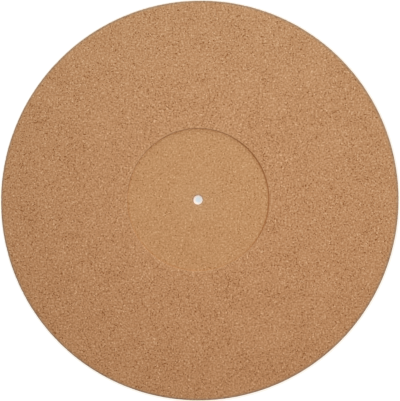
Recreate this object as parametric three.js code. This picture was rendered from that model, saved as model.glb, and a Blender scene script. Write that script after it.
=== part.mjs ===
// Cork slip mat for a record player's platter: one disc cut from agglomerated cork sheet.
// It has a shallow round recess in the top for a record's raised label, and a hole for the spindle.
// Millimetres, +Z up. The origin is the spindle's axis at the underside, which lies on the platter.

import * as THREE from 'three';

// Sizes that can be set one by one
const matDiameter = 300;
const matThickness = 3;
const labelRecessDiameter = 107;
const labelRecessDepth = 1;
const spindleHoleDiameter = 7.2;

// Radii that cutting and handling leave on the soft cork
const rimEdgeRadius = 0.4;
const recessLipRadius = 0.45;
const recessRootRadius = 0.15;
const holeEdgeRadius = 0.25;

// How finely the round shapes are divided
const sectorsPerTurn = 128;
const curveDivisions = 2;

const QUARTER_TURN = Math.PI / 2;

// A corner radius can't be more than this share of the wall that it rounds, so that the wall's
// two corners never meet.
const LARGEST_CORNER_SHARE = 0.49;

const rimRadius = matDiameter / 2;
const recessRadius = labelRecessDiameter / 2;
const holeRadius = spindleHoleDiameter / 2;
const recessFloorHeight = matThickness - labelRecessDepth;

/** A corner radius, limited by the height of the wall that carries the corner. */
function cornerWithin(radius, wallHeight) {
  return Math.min(radius, LARGEST_CORNER_SHARE * wallHeight);
}

/**
 * The mat's half section, as distance from the spindle's axis against height.
 * It runs once round the cork: out along the underside, up the rim, in over the playing surface,
 * down the recess wall, in over the recess floor and down the spindle hole.
 */
function matSection() {
  const rimCorner = cornerWithin(rimEdgeRadius, matThickness);
  const lipCorner = cornerWithin(recessLipRadius, labelRecessDepth);
  const rootCorner = cornerWithin(recessRootRadius, labelRecessDepth);
  const holeCorner = cornerWithin(holeEdgeRadius, recessFloorHeight);

  const section = new THREE.Path();

  // Underside, then the rim with both of its arrises rounded
  section.moveTo(holeRadius + holeCorner, 0);
  section.lineTo(rimRadius - rimCorner, 0);
  section.absarc(rimRadius - rimCorner, rimCorner, rimCorner, -QUARTER_TURN, 0, false);
  section.lineTo(rimRadius, matThickness - rimCorner);
  section.absarc(rimRadius - rimCorner, matThickness - rimCorner, rimCorner, 0, QUARTER_TURN, false);

  // Playing surface, as far as the softened lip of the label recess
  section.lineTo(recessRadius + lipCorner, matThickness);
  section.absarc(recessRadius + lipCorner, matThickness - lipCorner, lipCorner,
    QUARTER_TURN, 2 * QUARTER_TURN, false);

  // Recess wall, and the hollow corner that the cutter leaves at its foot
  section.lineTo(recessRadius, recessFloorHeight + rootCorner);
  section.absarc(recessRadius - rootCorner, recessFloorHeight + rootCorner, rootCorner,
    0, -QUARTER_TURN, true);

  // Recess floor, then the spindle hole with both of its edges rounded
  section.lineTo(holeRadius + holeCorner, recessFloorHeight);
  section.absarc(holeRadius + holeCorner, recessFloorHeight - holeCorner, holeCorner,
    QUARTER_TURN, 2 * QUARTER_TURN, false);
  section.lineTo(holeRadius, holeCorner);
  section.absarc(holeRadius + holeCorner, holeCorner, holeCorner,
    2 * QUARTER_TURN, 3 * QUARTER_TURN, false);

  section.closePath();
  return section.getPoints(curveDivisions);
}

/** Turns a closed half section once round the spindle's axis. */
function revolve(section) {
  const geometry = new THREE.LatheGeometry(section, sectorsPerTurn);
  geometry.rotateX(QUARTER_TURN); // a lathe turns about Y, and this part stands on Z
  return geometry;
}

/** Sanded cork agglomerate: a dull, warm tan. */
function corkMaterial() {
  return new THREE.MeshStandardMaterial({
    color: new THREE.Color(0xb98961),
    roughness: 0.9,
    metalness: 0,
  });
}

const corkMat = new THREE.Mesh(revolve(matSection()), corkMaterial());
corkMat.name = 'cork_mat';

const turntableMat = new THREE.Group();
turntableMat.add(corkMat);

export default turntableMat;
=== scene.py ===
"""A turntable platter mat: one disc of agglomerated cork with a label recess and a spindle hole.

Every length is in metres. The mat lies flat with +Z up, and the spindle's axis is the Z axis.
"""

import math

import bpy
import numpy as np
from mathutils import Matrix, Vector


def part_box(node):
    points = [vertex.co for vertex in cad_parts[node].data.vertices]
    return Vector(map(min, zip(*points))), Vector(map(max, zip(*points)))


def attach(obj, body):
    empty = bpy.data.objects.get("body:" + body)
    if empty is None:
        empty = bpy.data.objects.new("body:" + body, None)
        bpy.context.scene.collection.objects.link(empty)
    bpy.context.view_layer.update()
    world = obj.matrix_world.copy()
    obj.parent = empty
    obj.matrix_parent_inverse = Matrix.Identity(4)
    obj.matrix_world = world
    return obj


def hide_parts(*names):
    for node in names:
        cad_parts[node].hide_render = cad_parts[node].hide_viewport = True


MM = 0.001
CORK_NODE = "cork_mat"

# Cut sizes of the mat that the frame's box doesn't give
RECESS_RADIUS = 53.5 * MM
RECESS_DEPTH = 1.0 * MM
HOLE_RADIUS = 3.6 * MM

# Radii that cutting and handling leave on the soft cork
RIM_EDGE = 0.4 * MM
LIP_EDGE = 0.45 * MM
ROOT_EDGE = 0.15 * MM
HOLE_EDGE = 0.25 * MM

# Vertices round each ring, from coarse on the flats to fine where the cork crumbles.
# Neighbouring rings divide each other, so that they can be joined.
RIM_SECTORS = 2560
FIELD_SECTORS = 640
STEP_SECTORS = 1280
FLOOR_SECTORS = 320
HOLE_SECTORS = 160
UNDERSIDE_SECTORS = 320

# Width of the finely divided band beside each arris
RIM_BAND = 1.6 * MM
STEP_BAND = 1.2 * MM
HOLE_BAND = 0.9 * MM

# Finishes, in the order of the material slots
SANDED, MILLED, CUT, UNDERSIDE = range(4)

# Granules of the surface: their size, how far they differ in height, and the seams between them, with
# the seams' width as a share of the granules' size
GRANULE = 1.0 * MM
GRANULE_RELIEF = 0.06 * MM
SEAM_DEPTH = 0.05 * MM
SEAM_WIDTH = 0.3

# Nicks where a crumb has come off: the size of the cells that may hold one, the depth, the random
# number from which a cell has a nick, and where its slope starts and ends, as shares of the cell
NICK_SPACING = 1.7 * MM
NICK_DEPTH = 0.34 * MM
NICKED_FROM = 0.62
NICK_SLOPE = (0.15, 0.62)

# The slow wobble of a cut edge, its waves per turn, and the crumble at which it starts and is full
WOBBLE = 0.07 * MM
WOBBLE_TURNS = (5, 9, 17, 31, 52, 77)
EDGE_CRUMBLE = (0.1, 0.6)

# The slight wave of the sheet, and the distance from the rim over which it dies out. Each of its waves
# has an axis, its waves in one length, and the strength and waves in one length of its bend.
SHEET_WAVE = 0.05 * MM
SHEET_WAVE_LENGTH = 38 * MM
SHEET_WAVES = ((0, 1.0, 1.1, 0.6), (1, 0.8, 0.7, 0.5))
SHEET_FLAT_RIM = 6 * MM

# Starting numbers of the random patterns
GRANULE_SALT = 11
NICK_SALT = 29
WOBBLE_SALT = 3

# Grain of the cork. Outlines stray slowly and finely: each noise's scale per metre and its reach
SLOW_WARP_SCALE = 70.0
SLOW_WARP = 2.4 * MM
FINE_WARP_SCALE = 1300.0
FINE_WARP = 0.3 * MM

# The scales of the pores and flecks as shares of the granules' scale, the noise's swing at a full
# pore, and a fleck's least and greatest reach from its seed, in cells
PORE_GRAIN = 0.54
PORE_SWING = 0.3
FLECK_GRAIN = 0.84
FLECK_REACH = (0.3, 0.6)

# The clouds of tone in the sheet: their scale per metre, the levels of the noise where bark is
# scarcest and thickest, and how unevenly it is strewn
CLOUD_SCALE = 60.0
BARK_CLOUD = (0.65, 0.35)
BARK_GATHERING = 0.45

# The fine cells inside a granule: their scale per metre and their tone
CELL_SCALE = 5200.0
CELL_TONE = 0.12

# What each thing adds to the surface's height, as a share of the bump's depth
GRANULE_RISE = 0.5
CELL_RISE = 0.25
PORE_SINK = 0.45
BARK_SINK = 0.15

# Roughness from the smoothest to the roughest cork, where a mix of two random numbers lies within
# the given span, and how strong the cork's sheen is
ROUGHNESS = (0.78, 0.95)
ROUGHNESS_SPAN = (0.3, 1.2)
GRANULE_ROUGHNESS = 0.5
SHEEN = 0.22

# The mean of Blender's noise
NOISE_MEAN = 0.5

# How far sideways a flat pattern moves per metre of height, along X and Y
WALL_LEAN = (1.0, 0.6)

# The photograph's view: the camera's place as seen from the mat, its lens and sensor in millimetres,
# and the point it looks at. Tilts are in degrees.
CAMERA_DISTANCE = 1.694
CAMERA_TILT_RIGHT = 6.66
CAMERA_TILT_DOWN = 2.68
CAMERA_LENS = 202.6
CAMERA_SENSOR = 36.0
CAMERA_TARGET = (1.42 * MM, -0.50 * MM, 0.0)


def straight(start, end, steps):
    """Evenly spaced points from start to just before end: start plus a growing share of the way."""
    share = np.arange(steps)[:, None] / steps
    return np.array(start) + share * (np.array(end) - np.array(start))


def rounded(centre, radius, first, last, steps):
    """Points of an arc: centre plus radius times cosine and sine, from the first angle to the last."""
    angle = np.radians(first + (last - first) * np.arange(steps) / steps)
    return np.array(centre) + radius * np.stack([np.cos(angle), np.sin(angle)], axis=1)


def section_bands(rim, thickness):
    """The mat's closed half section as bands of rings: (points, sectors, finish, crumble).

    A point is (distance from the axis, height), and each one makes a ring. The bands run out along
    the underside, up the rim, in over the playing surface, down the recess's wall, in over its floor
    and down the spindle hole. Crumble is how much the cork breaks up there, from 0 on a flat to 1 at
    an arris.
    """
    top, floor = thickness, thickness - RECESS_DEPTH
    rim_flat, hole_flat = rim - RIM_EDGE, HOLE_RADIUS + HOLE_EDGE
    lip_flat, root_flat = RECESS_RADIUS + LIP_EDGE, RECESS_RADIUS - ROOT_EDGE
    rim_band, hole_band = rim_flat - RIM_BAND, hole_flat + HOLE_BAND
    lip_band, root_band = lip_flat + STEP_BAND, root_flat - STEP_BAND
    return [
        # underside, then the rim with its two arrises
        (straight((hole_flat, 0), (hole_band, 0), 2), HOLE_SECTORS, UNDERSIDE, 0.2),
        (straight((hole_band, 0), (rim_band, 0), 14), UNDERSIDE_SECTORS, UNDERSIDE, 0.05),
        (straight((rim_band, 0), (rim_flat, 0), 2), RIM_SECTORS, UNDERSIDE, 0.3),
        (rounded((rim_flat, RIM_EDGE), RIM_EDGE, -90, 0, 3), RIM_SECTORS, CUT, 0.8),
        (straight((rim, RIM_EDGE), (rim, top - RIM_EDGE), 4), RIM_SECTORS, CUT, 0.6),
        (rounded((rim_flat, top - RIM_EDGE), RIM_EDGE, 0, 90, 4), RIM_SECTORS, CUT, 1.0),
        (straight((rim_flat, top), (rim_band, top), 3), RIM_SECTORS, SANDED, 0.4),
        # playing surface
        (straight((rim_band, top), (lip_band, top), 26), FIELD_SECTORS, SANDED, 0.05),
        # lip, wall and root of the label recess
        (straight((lip_band, top), (lip_flat, top), 3), STEP_SECTORS, SANDED, 0.3),
        (rounded((lip_flat, top - LIP_EDGE), LIP_EDGE, 90, 180, 4), STEP_SECTORS, SANDED, 0.4),
        (straight((RECESS_RADIUS, top - LIP_EDGE), (RECESS_RADIUS, floor + ROOT_EDGE), 2),
         STEP_SECTORS, CUT, 0.4),
        (rounded((root_flat, floor + ROOT_EDGE), ROOT_EDGE, 0, -90, 3), STEP_SECTORS, CUT, 0.3),
        (straight((root_flat, floor), (root_band, floor), 2), STEP_SECTORS, MILLED, 0.1),
        # recess floor, then the spindle hole
        (straight((root_band, floor), (hole_band, floor), 18), FLOOR_SECTORS, MILLED, 0.04),
        (straight((hole_band, floor), (hole_flat, floor), 3), HOLE_SECTORS, MILLED, 0.15),
        (rounded((hole_flat, floor - HOLE_EDGE), HOLE_EDGE, 90, 180, 3), HOLE_SECTORS, CUT, 0.5),
        (straight((HOLE_RADIUS, floor - HOLE_EDGE), (HOLE_RADIUS, HOLE_EDGE), 4),
         HOLE_SECTORS, CUT, 0.3),
        (rounded((hole_flat, HOLE_EDGE), HOLE_EDGE, 180, 270, 3), HOLE_SECTORS, CUT, 0.4),
    ]


def section_normals(points):
    """Outward directions of a closed section: its run from one neighbour to the other, turned right."""
    run = np.roll(points, -1, axis=0) - np.roll(points, 1, axis=0)
    normal = np.stack([run[:, 1], -run[:, 0]], axis=1)
    return normal / np.linalg.norm(normal, axis=1, keepdims=True)


def cell_number(cell, salt):
    """A repeatable random number from 0 to 1 for each whole-numbered cell: its three numbers are
    multiplied by large odd numbers, mixed bit by bit and shifted down."""
    with np.errstate(over="ignore"):
        mixed = (cell.astype(np.int64) & 0xFFFFFFFF).astype(np.uint64)
        n = mixed[:, 0] * np.uint64(73856093) ^ mixed[:, 1] * np.uint64(19349663)
        n = n ^ mixed[:, 2] * np.uint64(83492791) ^ np.uint64(salt * 2654435761)
        n = (n ^ (n >> np.uint64(15))) * np.uint64(2246822519)
        n = (n ^ (n >> np.uint64(13))) * np.uint64(3266489917)
        n = n ^ (n >> np.uint64(16))
    return (n & np.uint64(0xFFFFFF)).astype(float) / 0xFFFFFF


# A distance, in cubes, beyond every seed that a point is compared with
BEYOND_ALL_SEEDS = 9.0


def granules(points, size, salt):
    """Cellular noise. Space is split into cubes of the given size with one seed point in each.
    Gives each point the distances to its nearest and second nearest seeds, in cubes, and the
    nearest seed's own random number."""
    place = points / size
    home = np.floor(place)
    nearest = np.full(len(points), BEYOND_ALL_SEEDS)
    second = np.full(len(points), BEYOND_ALL_SEEDS)
    number = np.zeros(len(points))
    steps = (-1, 0, 1)
    for step in [(x, y, z) for x in steps for y in steps for z in steps]:
        cell = home + step
        seed = cell + np.stack([cell_number(cell, salt + axis) for axis in (1, 2, 3)], axis=1)
        distance = np.linalg.norm(seed - place, axis=1)
        closer = distance < nearest
        second = np.where(closer, nearest, np.minimum(second, distance))
        number = np.where(closer, cell_number(cell, salt), number)
        nearest = np.where(closer, distance, nearest)
    return nearest, second, number


def slow_wave(angle, turns, salt):
    """A wave round the mat from 0 to 1: the mean of sines with the given whole numbers of turns,
    each with its own random phase."""
    phase = np.random.default_rng(salt).uniform(0, 2 * np.pi, len(turns))
    waves = [np.sin(count * angle + shift) for count, shift in zip(turns, phase)]
    return 0.5 + 0.5 * np.mean(waves, axis=0)


def smooth_step(value, low, high):
    """0 below low, 1 above high, and the cubic 3t squared minus 2t cubed between them."""
    share = np.clip((value - low) / (high - low), 0, 1)
    return share * share * (3 - 2 * share)


def worn_depth(points, angle, radius, crumble, rim):
    """How deep the cork has sunk below its cut surface at each point.

    The sum of: granules that each stand at their own height, with sunken seams; nicks where a
    crumb has come off an arris; a slow wobble of each cut edge; and the sheet's own slight wave,
    which is the mean of two sines, each bent by a slower sine of the other axis.
    """
    nearest, second, number = granules(points, GRANULE, GRANULE_SALT)
    seam = SEAM_DEPTH * (1 - smooth_step(second - nearest, 0.0, SEAM_WIDTH))
    relief = GRANULE_RELIEF * number + seam
    nearest, _, number = granules(points, NICK_SPACING, NICK_SALT)
    reach = 1 - smooth_step(nearest, *NICK_SLOPE)
    nick = NICK_DEPTH * smooth_step(number, NICKED_FROM, 1.0) * reach
    at_edge = smooth_step(crumble, *EDGE_CRUMBLE)
    wobble = WOBBLE * at_edge * slow_wave(angle, WOBBLE_TURNS, WOBBLE_SALT)
    along_sheet = 2 * np.pi * points[:, :2] / SHEET_WAVE_LENGTH
    waves = [np.sin(rate * along_sheet[:, axis] + bend * np.sin(bend_rate * along_sheet[:, 1 - axis]))
             for axis, rate, bend, bend_rate in SHEET_WAVES]
    wave = 0.5 + 0.5 * np.mean(waves, axis=0)
    sheet = SHEET_WAVE * wave * smooth_step(rim - radius, 0, SHEET_FLAT_RIM)
    return crumble * (relief + nick) + wobble + sheet * (1 - at_edge)


def ring_faces(first_a, count_a, first_b, count_b):
    """Faces between two rings of the section, wound to point outwards. The ring with more vertices
    gives each face several of them, so the rings share every vertex and leave no gap."""
    count = min(count_a, count_b)
    share_a, share_b = count_a // count, count_b // count
    sector = np.arange(count)[:, None]
    along_a = (sector * share_a + np.arange(share_a + 1)) % count_a + first_a
    along_b = (sector * share_b + np.arange(share_b, -1, -1)) % count_b + first_b
    return np.concatenate([along_a, along_b], axis=1)


def cork_disc(low, high):
    """The mat's surface: each point of the section carried round the axis, then sunk by its wear."""
    rim, thickness = high.x, high.z - low.z
    bands = section_bands(rim, thickness)
    lengths = [len(band[0]) for band in bands]
    section = np.concatenate([band[0] for band in bands])
    normals = section_normals(section)
    sectors = np.repeat([band[1] for band in bands], lengths)
    finish = np.repeat([band[2] for band in bands], lengths)
    crumble = np.repeat([band[3] for band in bands], lengths)

    angle = np.concatenate([2 * np.pi * np.arange(count) / count for count in sectors])
    radius, height = np.repeat(section, sectors, axis=0).T
    outward, upward = np.repeat(normals, sectors, axis=0).T
    points = np.stack([radius * np.cos(angle), radius * np.sin(angle), height], axis=1)
    directions = np.stack([outward * np.cos(angle), outward * np.sin(angle), upward], axis=1)
    depth = worn_depth(points, angle, radius, np.repeat(crumble, sectors), rim)
    points = points - directions * depth[:, None]

    starts = np.concatenate([[0], np.cumsum(sectors)[:-1]])
    faces, slots = [], []
    for ring in range(len(sectors)):
        after = (ring + 1) % len(sectors)
        strip = ring_faces(starts[ring], sectors[ring], starts[after], sectors[after])
        faces.extend(strip.tolist())
        slots.extend([finish[ring]] * len(strip))

    mesh = bpy.data.meshes.new("cork_disc")
    mesh.from_pydata(points.tolist(), [], faces)
    mesh.polygons.foreach_set("material_index", np.array(slots, dtype=np.int32))
    mesh.polygons.foreach_set("use_smooth", np.ones(len(slots), dtype=bool))
    mesh.update()
    mesh.validate()
    disc = bpy.data.objects.new("cork_disc", mesh)
    bpy.context.scene.collection.objects.link(disc)
    return disc


class Wiring:
    """Adds nodes to one node tree and links them. A socket or a plain value can feed any input."""

    def __init__(self, tree):
        self.tree = tree

    def feed(self, socket, value):
        """Links a socket to the input, or sets the input to a plain value."""
        if isinstance(value, bpy.types.NodeSocket):
            self.tree.links.new(value, socket)
        else:
            socket.default_value = value

    def node(self, kind, inputs=None, **settings):
        """Adds a node of that kind, applies its settings, then feeds its inputs by name or number."""
        made = self.tree.nodes.new(kind)
        for name, value in settings.items():
            setattr(made, name, value)
        for name, value in (inputs or {}).items():
            self.feed(made.inputs[name], value)
        return made

    def math(self, operation, a, b=0.0, clamp=False):
        """The outcome of one sum on a and b, kept from 0 to 1 if clamp is set."""
        return self.node("ShaderNodeMath", {0: a, 1: b}, operation=operation, use_clamp=clamp).outputs[0]

    def span(self, value, low, high, to_low=0.0, to_high=1.0, smooth=False):
        """The value's place between low and high, carried over to the span from to_low to to_high."""
        inputs = {"Value": value, "From Min": low, "From Max": high, "To Min": to_low, "To Max": to_high}
        kind = "SMOOTHSTEP" if smooth else "LINEAR"
        return self.node("ShaderNodeMapRange", inputs, interpolation_type=kind, clamp=True).outputs[0]

    def colour_mix(self, share, a, b, blend="MIX"):
        """Colour a, blended with colour b by the share. The node's sockets 6 and 7 are its colours."""
        inputs = {0: share, 6: a, 7: b}
        return self.node("ShaderNodeMix", inputs, data_type="RGBA", blend_type=blend,
                         clamp_factor=True).outputs[2]

    def value_mix(self, share, a, b):
        """The value between a and b at that share. The node's sockets 2 and 3 are its values."""
        return self.node("ShaderNodeMix", {0: share, 2: a, 3: b}, data_type="FLOAT").outputs[0]

    def fine_noise(self, metres, scale):
        """A noise with some fine detail, around 0.5."""
        noise = self.node("ShaderNodeTexNoise", {"Vector": metres, "Scale": scale, "Detail": 2.0})
        return noise.outputs[0]

    def pushed(self, place, metres, scale, reach):
        """The place, moved up to half the reach either way along each axis by a noise."""
        noise = self.node("ShaderNodeTexNoise", {"Vector": metres, "Scale": scale, "Detail": 1.0})
        push = self.node("ShaderNodeVectorMath", {0: noise.outputs["Color"], 1: (NOISE_MEAN,) * 3},
                         operation="SUBTRACT").outputs[0]
        push = self.node("ShaderNodeVectorMath", {0: push, "Scale": reach}, operation="SCALE").outputs[0]
        return self.node("ShaderNodeVectorMath", {0: place, 1: push}, operation="ADD").outputs[0]

    def leaning(self, place):
        """The place moved sideways by its height, so that a flat pattern also changes up a wall."""
        x, y, z = self.node("ShaderNodeSeparateXYZ", {0: place}).outputs
        moved = [self.math("ADD", flat, self.math("MULTIPLY", z, lean))
                 for flat, lean in zip((x, y), WALL_LEAN)]
        return self.node("ShaderNodeCombineXYZ", {0: moved[0], 1: moved[1]}).outputs[0]

    def axis_distance(self, place):
        """Distance of a place from the Z axis, in metres."""
        flat = self.node("ShaderNodeVectorMath", {0: place, 1: (1, 1, 0)}, operation="MULTIPLY")
        length = self.node("ShaderNodeVectorMath", {0: flat.outputs[0]}, operation="LENGTH")
        return length.outputs["Value"]

    def distance_along(self, place, compass):
        """How far out a place lies along a compass angle from +X, in metres."""
        way = (math.cos(math.radians(compass)), math.sin(math.radians(compass)), 0)
        product = self.node("ShaderNodeVectorMath", {0: place, 1: way}, operation="DOT_PRODUCT")
        return product.outputs["Value"]

    def parts(self, colour):
        """The three channels of a colour, which is how a cell gives out its random numbers."""
        return self.node("ShaderNodeSeparateColor", {0: colour}).outputs


def cork_grain_group():
    """Agglomerated cork as a node group, on coordinates in metres.

    Small granules are cells of a warped cellular noise, each with its own tone. Dark pores and pale
    worn spots are strewn between them by a flat noise, and bark and pale flecks are rarer, larger
    cells of their own. All of it sums up to one tone, from -1 for dark cork to 1 for pale cork, which
    picks the colour. It puts out the colour, the roughness and the height of the surface.
    """
    tree = bpy.data.node_groups.new("cork grain", "ShaderNodeTree")
    tree.interface.new_socket(name="Coordinates", in_out="INPUT", socket_type="NodeSocketVector")
    for name, value in SANDED_GRAIN.items():
        kind = "NodeSocketColor" if isinstance(value, tuple) else "NodeSocketFloat"
        tree.interface.new_socket(name=name, in_out="INPUT", socket_type=kind).default_value = value
    for name, kind in (("Colour", "NodeSocketColor"), ("Roughness", "NodeSocketFloat"),
                       ("Height", "NodeSocketFloat")):
        tree.interface.new_socket(name=name, in_out="OUTPUT", socket_type=kind)

    w = Wiring(tree)
    given = w.node("NodeGroupInput").outputs
    metres, scale = given["Coordinates"], given["Granules Per Metre"]

    # Irregular outlines: a slow noise varies the size of the granules, and a fine one their edges
    slowly_warped = w.pushed(metres, metres, SLOW_WARP_SCALE, SLOW_WARP)
    warped = w.pushed(slowly_warped, metres, FINE_WARP_SCALE, FINE_WARP)

    # Small granules, each with its own height and its own tone, which swings from -1 to 1
    small = w.node("ShaderNodeTexVoronoi", {"Vector": warped, "Scale": scale})
    small_tone, dullness, level = w.parts(small.outputs["Color"])[:3]
    swing = w.math("MULTIPLY", w.math("SUBTRACT", small_tone, 0.5), 2.0)
    tone = w.math("MULTIPLY", swing, given["Granule Tone"])

    # Dark pores and pale worn spots, strewn evenly between the granules by a flat noise
    strewn = w.node("ShaderNodeTexNoise", {"Vector": w.leaning(warped), "Detail": 0.0,
                                           "Scale": w.math("MULTIPLY", scale, PORE_GRAIN)},
                    noise_dimensions="2D").outputs[0]
    pore = w.span(strewn, NOISE_MEAN, NOISE_MEAN + PORE_SWING)
    worn = w.span(strewn, NOISE_MEAN, NOISE_MEAN - PORE_SWING)
    tone = w.math("ADD", tone, w.math("MULTIPLY", w.math("SUBTRACT", worn, pore), given["Pore Tone"]))

    # Bark flecks and pale flecks, each a share of all. Bark gathers where the sheet is darker.
    cloud = w.fine_noise(metres, CLOUD_SCALE)
    gathered = w.span(cloud, *BARK_CLOUD, 1.0 - BARK_GATHERING, 1.0 + BARK_GATHERING)
    bark_below = w.math("MULTIPLY", given["Bark Share"], gathered)
    fleck_scale = w.math("MULTIPLY", scale, FLECK_GRAIN)
    fleck = w.node("ShaderNodeTexVoronoi", {"Vector": warped, "Scale": fleck_scale})
    fleck_kind, fleck_size = w.parts(fleck.outputs["Color"])[:2]
    fleck_reach = w.span(fleck_size, 0.0, 1.0, *FLECK_REACH)
    inside_fleck = w.math("LESS_THAN", fleck.outputs["Distance"], fleck_reach)
    bark = w.math("MULTIPLY", w.math("LESS_THAN", fleck_kind, bark_below), inside_fleck)
    pale_from = w.math("SUBTRACT", 1.0, given["Pale Share"])
    pale = w.math("MULTIPLY", w.math("GREATER_THAN", fleck_kind, pale_from), inside_fleck)
    tone = w.math("SUBTRACT", tone, w.math("MULTIPLY", bark, given["Bark Tone"]))
    tone = w.math("ADD", tone, w.math("MULTIPLY", pale, given["Pale Tone"]))

    # Slow changes of tone over the sheet, and the fine cell structure inside a granule
    cells = w.fine_noise(metres, CELL_SCALE)
    for noise, strength in ((cloud, given["Cloud Tone"]), (cells, CELL_TONE)):
        offset = w.math("SUBTRACT", noise, NOISE_MEAN)
        tone = w.math("ADD", tone, w.math("MULTIPLY", offset, strength))

    darker = w.colour_mix(w.math("MULTIPLY", tone, -1.0), given["Cork"], given["Dark Cork"])
    colour = w.colour_mix(tone, darker, given["Pale Cork"])

    dull = w.math("ADD", w.math("MULTIPLY", dullness, GRANULE_ROUGHNESS), cells)
    roughness = w.span(dull, *ROUGHNESS_SPAN, *ROUGHNESS)
    height = w.math("ADD", w.math("MULTIPLY", level, GRANULE_RISE), w.math("MULTIPLY", cells, CELL_RISE))
    height = w.math("SUBTRACT", height, w.math("MULTIPLY", pore, PORE_SINK))
    height = w.math("SUBTRACT", height, w.math("MULTIPLY", bark, BARK_SINK))

    w.node("NodeGroupOutput", {"Colour": colour, "Roughness": roughness, "Height": height})
    return tree


# Painted tint of the light: the sheet's colour drifts from warmer on the near side to cooler on the
# far side. The far side's direction is a compass angle from +X, and the drift runs over the given span
# along it.
COOL_LIT_SIDE = 68
LIGHT_TINT_SPAN = (-150 * MM, 150 * MM)
NEAR_TINT = (1.03, 1.0, 0.975, 1)
FAR_TINT = (0.97, 1.0, 1.025, 1)


def light_tint_group():
    """The painted tint of the light as a node group: a colour to multiply by, from the warmer near
    side's tint to the cooler far side's."""
    tree = bpy.data.node_groups.new("light_tint", "ShaderNodeTree")
    tree.interface.new_socket(name="Coordinates", in_out="INPUT", socket_type="NodeSocketVector")
    for name in ("Near Tint", "Far Tint"):
        tree.interface.new_socket(name=name, in_out="INPUT", socket_type="NodeSocketColor")
    tree.interface.new_socket(name="Tint", in_out="OUTPUT", socket_type="NodeSocketColor")

    w = Wiring(tree)
    given = w.node("NodeGroupInput").outputs
    share = w.span(w.distance_along(given["Coordinates"], COOL_LIT_SIDE), *LIGHT_TINT_SPAN)
    w.node("NodeGroupOutput", {"Tint": w.colour_mix(share, given["Near Tint"], given["Far Tint"])})
    return tree


# The side of the label recess with a painted shadow along its edge, as a compass angle from +X, and
# how far out along that direction the painted shadow begins and is full
SHADOWED_SIDE = 8
SHADOWED_REACH = (20 * MM, 48 * MM)


def soil_and_shade_group():
    """Soil, wear and painted shade in a band round the axis as a node group: a mask that grows from the
    band's start to where it is full, as distances from the axis. Shadow Side Share adds to it on the
    side with the painted shadow."""
    tree = bpy.data.node_groups.new("edge soil", "ShaderNodeTree")
    tree.interface.new_socket(name="Coordinates", in_out="INPUT", socket_type="NodeSocketVector")
    for name in ("Start", "Full", "Share", "Shadow Side Share"):
        tree.interface.new_socket(name=name, in_out="INPUT", socket_type="NodeSocketFloat")
    tree.interface.new_socket(name="Band Mask", in_out="OUTPUT", socket_type="NodeSocketFloat")

    w = Wiring(tree)
    given = w.node("NodeGroupInput").outputs
    band = w.span(w.axis_distance(given["Coordinates"]), given["Start"], given["Full"], smooth=True)
    # the painted shadow is stronger on one side of the recess
    on_side = w.span(w.distance_along(given["Coordinates"], SHADOWED_SIDE), *SHADOWED_REACH, smooth=True)
    share = w.math("ADD", given["Share"], w.math("MULTIPLY", on_side, given["Shadow Side Share"]))
    w.node("NodeGroupOutput", {"Band Mask": w.math("MULTIPLY", band, share)})
    return tree


# What marks the cork, as linear colours: warm brown painted shade at the foot of the recess's wall,
# a dark painted shadow along the recess's edge, painted grey shade just inside the rim, the pale cork
# that wear shows round the hole and that on the recess's lip is partly wear and partly a painted
# highlight, and grey chalk at the hole's very edge.
WALL_FOOT_SHADE = (0.38, 0.130, 0.010, 1)
RECESS_EDGE_SHADOW = (0.34, 0.084, 0.001, 1)
RIM_SHADE = (0.224, 0.20, 0.155, 1)
WEAR_AND_HIGHLIGHT = (0.60, 0.345, 0.175, 1)
CHALK = (0.45, 0.38, 0.30, 1)

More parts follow.
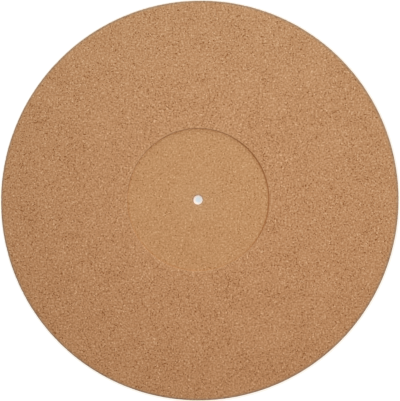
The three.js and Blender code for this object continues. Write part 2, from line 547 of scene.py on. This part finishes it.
# Finishes of the four kinds of surface. Colours are linear, and the bump is its depth. Each band of
# soil, wear, painted shade and painted highlight has a colour, a start, the place where it is full,
# its share there, and what the side with the painted shadow adds to that share. The underside has
# the sanded top's grain, without these bands.
SANDED_GRAIN = {
    "Dark Cork": (0.235, 0.061, 0.001, 1), "Cork": (0.540, 0.2545, 0.112, 1),
    "Pale Cork": (0.83, 0.515, 0.300, 1), "Granules Per Metre": 1400.0, "Granule Tone": 0.13,
    "Pore Tone": 0.29, "Bark Share": 0.11, "Pale Share": 0.07, "Bark Tone": 1.2,
    "Pale Tone": 0.68, "Cloud Tone": 0.18,
}
FINISHES = {
    SANDED: {
        "name": "sanded cork",
        "grain": SANDED_GRAIN,
        "bump": 0.10 * MM,
        # painted grey shade inside the rim, a lip band that is partly wear and partly painted highlight,
        # and a painted shadow along the recess's edge
        "soil_and_shade": ((RIM_SHADE, 147.8 * MM, 149.3 * MM, 0.42, 0.0), (WEAR_AND_HIGHLIGHT, 55.0 * MM, 54.0 * MM, 0.27, 0.0),
                 (RECESS_EDGE_SHADOW, 54.5 * MM, 53.7 * MM, 0.0, 0.58)),
    },
    MILLED: {
        "name": "milled cork",
        "grain": {"Dark Cork": (0.276, 0.086, 0.002, 1), "Cork": (0.555, 0.269, 0.115, 1),
                  "Pale Cork": (0.86, 0.555, 0.310, 1), "Granules Per Metre": 1400.0,
                  "Granule Tone": 0.11, "Pore Tone": 0.22, "Bark Share": 0.09, "Pale Share": 0.08,
                  "Bark Tone": 0.74, "Pale Tone": 0.46, "Cloud Tone": 0.1},
        "bump": 0.06 * MM,
        # painted warm shade at the foot of the recess's wall, a painted shadow along its edge on one
        # side, wear round the hole and chalk at its edge
        "soil_and_shade": ((WALL_FOOT_SHADE, 51.7 * MM, 53.4 * MM, 0.20, 0.0), (RECESS_EDGE_SHADOW, 52.4 * MM, 53.3 * MM, 0.0, 0.45),
                 (WEAR_AND_HIGHLIGHT, 26.0 * MM, 6.0 * MM, 0.15, 0.0), (CHALK, 6.0 * MM, 4.0 * MM, 0.16, 0.0)),
    },
    CUT: {
        "name": "cut cork edge",
        "grain": {"Dark Cork": (0.205, 0.064, 0.011, 1), "Cork": (0.50, 0.228, 0.095, 1),
                  "Pale Cork": (0.75, 0.42, 0.23, 1), "Granules Per Metre": 1300.0,
                  "Granule Tone": 0.25, "Pore Tone": 0.45, "Bark Share": 0.14, "Pale Share": 0.08,
                  "Bark Tone": 0.8, "Pale Tone": 0.6, "Cloud Tone": 0.1},
        "bump": 0.16 * MM,
        # painted shade on the cut walls inside the recess's edge, and a painted shadow on one side of it
        "soil_and_shade": ((RECESS_EDGE_SHADOW, 54.5 * MM, 53.7 * MM, 0.12, 0.47),),
    },
    UNDERSIDE: {"name": "cork underside", "grain": SANDED_GRAIN, "bump": 0.10 * MM, "soil_and_shade": ()},
}


def cork_material(finish, grain, light_tint, soil_and_shade):
    """One finish of the cork: the shared grain with its own tones, a painted tint of the light,
    bands of soil, wear and painted shade, and a bump.
    """
    values = FINISHES[finish]
    material = bpy.data.materials.new(values["name"])
    material.use_nodes = True
    tree = material.node_tree
    shader = tree.nodes["Principled BSDF"]
    shader.inputs["Specular IOR Level"].default_value = SHEEN
    w = Wiring(tree)
    where = w.node("ShaderNodeTexCoord").outputs["Object"]
    pattern = w.node("ShaderNodeGroup", {"Coordinates": where, **values["grain"]}, node_tree=grain)
    # painted tint of the light: warmer on the near side, cooler on the far side
    painted_tint = w.node("ShaderNodeGroup", {"Coordinates": where, "Near Tint": NEAR_TINT,
                                       "Far Tint": FAR_TINT}, node_tree=light_tint)
    colour = w.colour_mix(1.0, pattern.outputs["Colour"], painted_tint.outputs["Tint"], blend="MULTIPLY")
    # each band of soil, wear, painted shade and painted highlight is mixed in by its mask
    for band_colour, start, full, share, shadow_side_share in values["soil_and_shade"]:
        band = w.node("ShaderNodeGroup", {"Coordinates": where, "Start": start, "Full": full,
                                          "Share": share, "Shadow Side Share": shadow_side_share}, node_tree=soil_and_shade)
        colour = w.colour_mix(band.outputs["Band Mask"], colour, band_colour)
    bump = w.node("ShaderNodeBump", {"Height": pattern.outputs["Height"], "Strength": 1.0,
                                     "Distance": values["bump"]})
    w.feed(shader.inputs["Base Color"], colour)
    w.feed(shader.inputs["Roughness"], pattern.outputs["Roughness"])
    w.feed(shader.inputs["Normal"], bump.outputs["Normal"])
    return material


def seen_ray(w):
    """1 for rays that show a surface directly, in a mirror or through glass, and 0 for its light."""
    path = w.node("ShaderNodeLightPath").outputs
    shown = w.math("ADD", path["Is Camera Ray"], path["Is Glossy Ray"])
    return w.math("ADD", shown, path["Is Transmission Ray"], clamp=True)


# The white table. Round the mat it shows a part of white by itself, and all of it farther off, where
# the lamps don't reach. In the spindle hole it is in cool shade, and brighter and warm beside the
# hole's wall, where the cork throws light on it. The rest of the table under the mat is left open.
# The cork also throws a narrow warm glow on the table against the rim, which hides its own light
# there. The pairs are distances from the axis: where a change starts and where it is full, and for
# the open part its two edges.
TABLE_RADIUS = 4.0
TABLE_SECTORS = 96
OPEN_COLOUR = (0.88, 0.88, 0.88, 1)
OPEN_GLOW = 0.72
FAR_GLOW = 1.1
FAR_EDGE = (250 * MM, 600 * MM)
SHADED_COLOUR = (0.75, 0.81, 0.855, 1)
BESIDE_WALL_COLOUR = (1.0, 0.88, 0.78, 1)
BESIDE_WALL = (1.5 * MM, 2.8 * MM)
SHADED_GLOW = 0.06
RIM_GLOW_COLOUR = (0.97, 0.92, 0.85, 1)
RIM_GLOW = (152.6 * MM, 150.9 * MM)
UNDER_MAT = (4.6 * MM, 149.4 * MM)
SHADE_EDGE = (120 * MM, 146 * MM)
UNLIT = (0, 0, 0, 1)


def white_table():
    """A round white table. It keeps the mat's shadow and shows white where the light is full. From
    below it is clear, and it is open under the mat but for the spindle hole, so that the mat's
    underside shows and is lit."""
    bpy.ops.mesh.primitive_circle_add(vertices=TABLE_SECTORS, radius=TABLE_RADIUS, fill_type="NGON")
    table = bpy.context.object
    table.name = "white_table"
    material = bpy.data.materials.new("white table")
    material.use_nodes = True
    tree = material.node_tree
    tree.nodes.clear()
    w = Wiring(tree)
    place = w.node("ShaderNodeTexCoord").outputs["Object"]
    distance = w.axis_distance(place)
    is_open = w.span(distance, *SHADE_EDGE, smooth=True)
    beside_wall = w.span(distance, *BESIDE_WALL, smooth=True)
    colour = w.colour_mix(beside_wall, SHADED_COLOUR, BESIDE_WALL_COLOUR)
    colour = w.colour_mix(is_open, colour, OPEN_COLOUR)
    is_far = w.span(distance, *FAR_EDGE, smooth=True)
    glow = w.value_mix(is_far, w.value_mix(is_open, SHADED_GLOW, OPEN_GLOW), FAR_GLOW)
    at_rim = w.math("MULTIPLY", w.span(distance, *RIM_GLOW, smooth=True), is_open)
    own_light = w.math("MULTIPLY", seen_ray(w), w.value_mix(at_rim, glow, 1.0))
    lit_colour = w.colour_mix(at_rim, colour, UNLIT)
    matt = w.node("ShaderNodeBsdfDiffuse", {"Color": lit_colour})
    own_colour = w.colour_mix(at_rim, colour, RIM_GLOW_COLOUR)
    shining = w.node("ShaderNodeEmission", {"Color": own_colour, "Strength": own_light})
    top = w.node("ShaderNodeAddShader", {0: matt.outputs[0], 1: shining.outputs[0]})
    from_below = w.node("ShaderNodeNewGeometry").outputs["Backfacing"]
    past_hole = w.math("GREATER_THAN", distance, UNDER_MAT[0])
    within_rim = w.math("LESS_THAN", distance, UNDER_MAT[1])
    is_clear = w.math("MAXIMUM", from_below, w.math("MULTIPLY", past_hole, within_rim))
    clear = w.node("ShaderNodeBsdfTransparent")
    both = w.node("ShaderNodeMixShader", {0: is_clear, 1: top.outputs[0], 2: clear.outputs[0]})
    w.node("ShaderNodeOutputMaterial", {"Surface": both.outputs[0]})
    table.data.materials.append(material)
    return table


# Lamps: name, compass angle from +X and height angle in degrees, distance, side, share of full
# light, colour.
# The last one lights the underside from below the table, which is clear from there.
LAMPS = (
    ("overhead", 15, 85, 0.48, 0.27, 0.44, (1.0, 0.99, 1.0)),
    ("high_lamp", 90, 65, 0.7, 0.30, 0.31, (0.79, 0.95, 1.0)),
    ("top_window", 94, 20, 1.3, 0.35, 0.08, (0.72, 0.92, 1.0)),
    ("top_glow", 100, 10, 1.3, 0.35, 0.04, (0.72, 0.92, 1.0)),
    ("corner_window", 58, 20, 1.3, 0.35, 0.045, (0.72, 0.92, 1.0)),
    ("right_lamp", -20, 50, 0.7, 0.30, 0.06, (1.0, 0.85, 0.70)),
    ("right_window", 0, 20, 1.3, 0.35, 0.038, (0.9, 1.0, 1.0)),
    ("under_lamp", 0, -90, 1.3, 0.30, 0.80, (1.0, 0.98, 0.95)),
)
WORLD_COLOUR = (1.0, 0.92, 0.82)
WORLD_SHARE = 0.10


def soft_lamp(name, compass, rise, distance, side, share, colour):
    """A square lamp that faces the mat's centre and gives it that share of full light: its power is
    pi squared times the distance squared times the share, over the sine of its height angle, which
    is negative for a lamp below the table."""
    light = bpy.data.lights.new(name, "AREA")
    light.shape = "SQUARE"
    light.size = side
    light.color = colour
    light.energy = share * (math.pi * distance) ** 2 / abs(math.sin(math.radians(rise)))
    lamp = bpy.data.objects.new(name, light)
    flat = distance * math.cos(math.radians(rise))
    place = Vector((flat * math.cos(math.radians(compass)), flat * math.sin(math.radians(compass)),
                    distance * math.sin(math.radians(rise))))
    lamp.location = place
    lamp.rotation_euler = (-place).to_track_quat("-Z", "Y").to_euler()
    lamp.visible_camera = False
    bpy.context.scene.collection.objects.link(lamp)


def pale_world():
    """An even pale surround that shows white, and lights the mat by its own share."""
    world = bpy.data.worlds.new("pale studio")
    bpy.context.scene.world = world
    world.use_nodes = True
    tree = world.node_tree
    tree.nodes.clear()
    w = Wiring(tree)
    light = w.node("ShaderNodeBackground", {"Color": (*WORLD_COLOUR, 1), "Strength": WORLD_SHARE})
    white = w.node("ShaderNodeBackground", {"Color": (1, 1, 1, 1), "Strength": 1.0})
    both = w.node("ShaderNodeMixShader", {0: seen_ray(w), 1: light.outputs[0], 2: white.outputs[0]})
    w.node("ShaderNodeOutputWorld", {"Surface": both.outputs[0]})


def photo_camera():
    """The photograph's camera: a long lens nearly straight above, leaning right and down."""
    lean_right = math.sin(math.radians(CAMERA_TILT_RIGHT))
    lean_down = math.sin(math.radians(CAMERA_TILT_DOWN))
    back = Vector((lean_right, -lean_down, math.sqrt(1 - lean_right ** 2 - lean_down ** 2)))
    right = Vector((0, 1, 0)).cross(back).normalized()
    up = back.cross(right)
    data = bpy.data.cameras.new("photo_camera")
    data.sensor_width = CAMERA_SENSOR
    data.lens = CAMERA_LENS
    camera = bpy.data.objects.new("photo_camera", data)
    turn = Matrix((right, up, back)).transposed().to_4x4()
    camera.matrix_world = Matrix.Translation(Vector(CAMERA_TARGET) + CAMERA_DISTANCE * back) @ turn
    bpy.context.scene.collection.objects.link(camera)
    bpy.context.scene.camera = camera


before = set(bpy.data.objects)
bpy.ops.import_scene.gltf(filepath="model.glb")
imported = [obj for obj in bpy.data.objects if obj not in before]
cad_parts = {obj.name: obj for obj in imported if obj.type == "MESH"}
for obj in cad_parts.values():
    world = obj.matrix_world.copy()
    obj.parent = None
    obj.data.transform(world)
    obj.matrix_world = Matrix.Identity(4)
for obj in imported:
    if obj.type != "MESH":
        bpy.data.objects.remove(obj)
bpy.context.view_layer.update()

disc = cork_disc(*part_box(CORK_NODE))
grain, light_tint, soil_and_shade = cork_grain_group(), light_tint_group(), soil_and_shade_group()
for finish in (SANDED, MILLED, CUT, UNDERSIDE):
    disc.data.materials.append(cork_material(finish, grain, light_tint, soil_and_shade))
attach(disc, "root")
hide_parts(CORK_NODE)

white_table()
for lamp_values in LAMPS:
    soft_lamp(*lamp_values)
pale_world()
photo_camera()
bpy.context.scene.view_settings.view_transform = "Standard"
